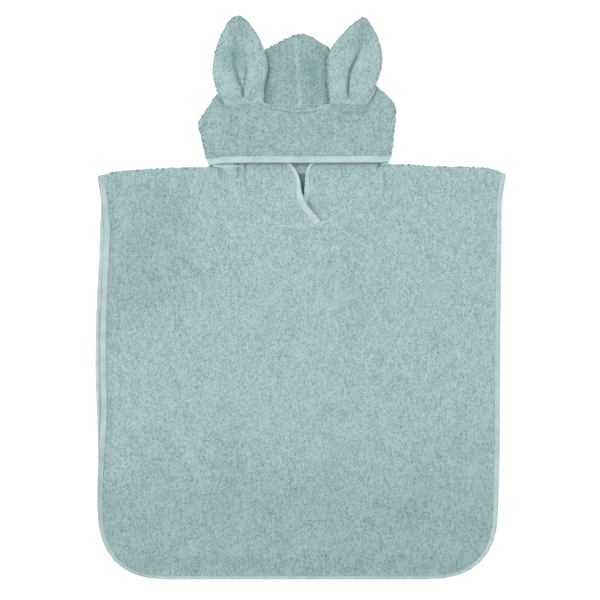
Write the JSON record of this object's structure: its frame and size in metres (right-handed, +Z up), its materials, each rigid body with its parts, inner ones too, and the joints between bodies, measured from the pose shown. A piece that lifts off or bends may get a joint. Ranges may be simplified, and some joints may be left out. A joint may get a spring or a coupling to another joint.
{
  "type": "hooded bath poncho",
  "caption": "Toddler's terry bath poncho laid flat, with a rounded hem bound in bias tape and a hood with pointed ears over a crossed front slit.",
  "frame": {"origin": "centre of the bounding box in plan, at the height of the surface that the cloth lies on", "axes": "+Z up from the surface, +Y from the hem towards the hood and the ears, +X to the right seen from above with the hood away from the viewer"},
  "size_m": [0.5957, 0.8174, 0.0185],
  "materials": {
    "terry": "matt cotton terry, pale blue-green",
    "terry_back": "matt cotton terry, pale blue-green, the side that lies down",
    "terry_ears": "matt, lighter cotton terry",
    "tape": "smooth woven cotton bias tape, a lighter blue-green"
  },
  "bodies": {
    "root": {"body_back": "terry_back", "body_front": "terry", "back_edge_binding": "tape", "front_edge_binding": "tape", "hood_back": "terry_back", "hood_crown_left": "terry", "hood_crown_right": "terry", "hood_band": "terry", "hood_front_left": "terry", "hood_front_right": "terry", "face_edge_binding_top": "tape", "face_edge_binding_left": "tape", "face_edge_binding_right": "tape", "ear_left_front": "terry_ears", "ear_left_back": "terry_ears", "ear_right_front": "terry_ears", "ear_right_back": "terry_ears"}
  },
  "joints": []
}
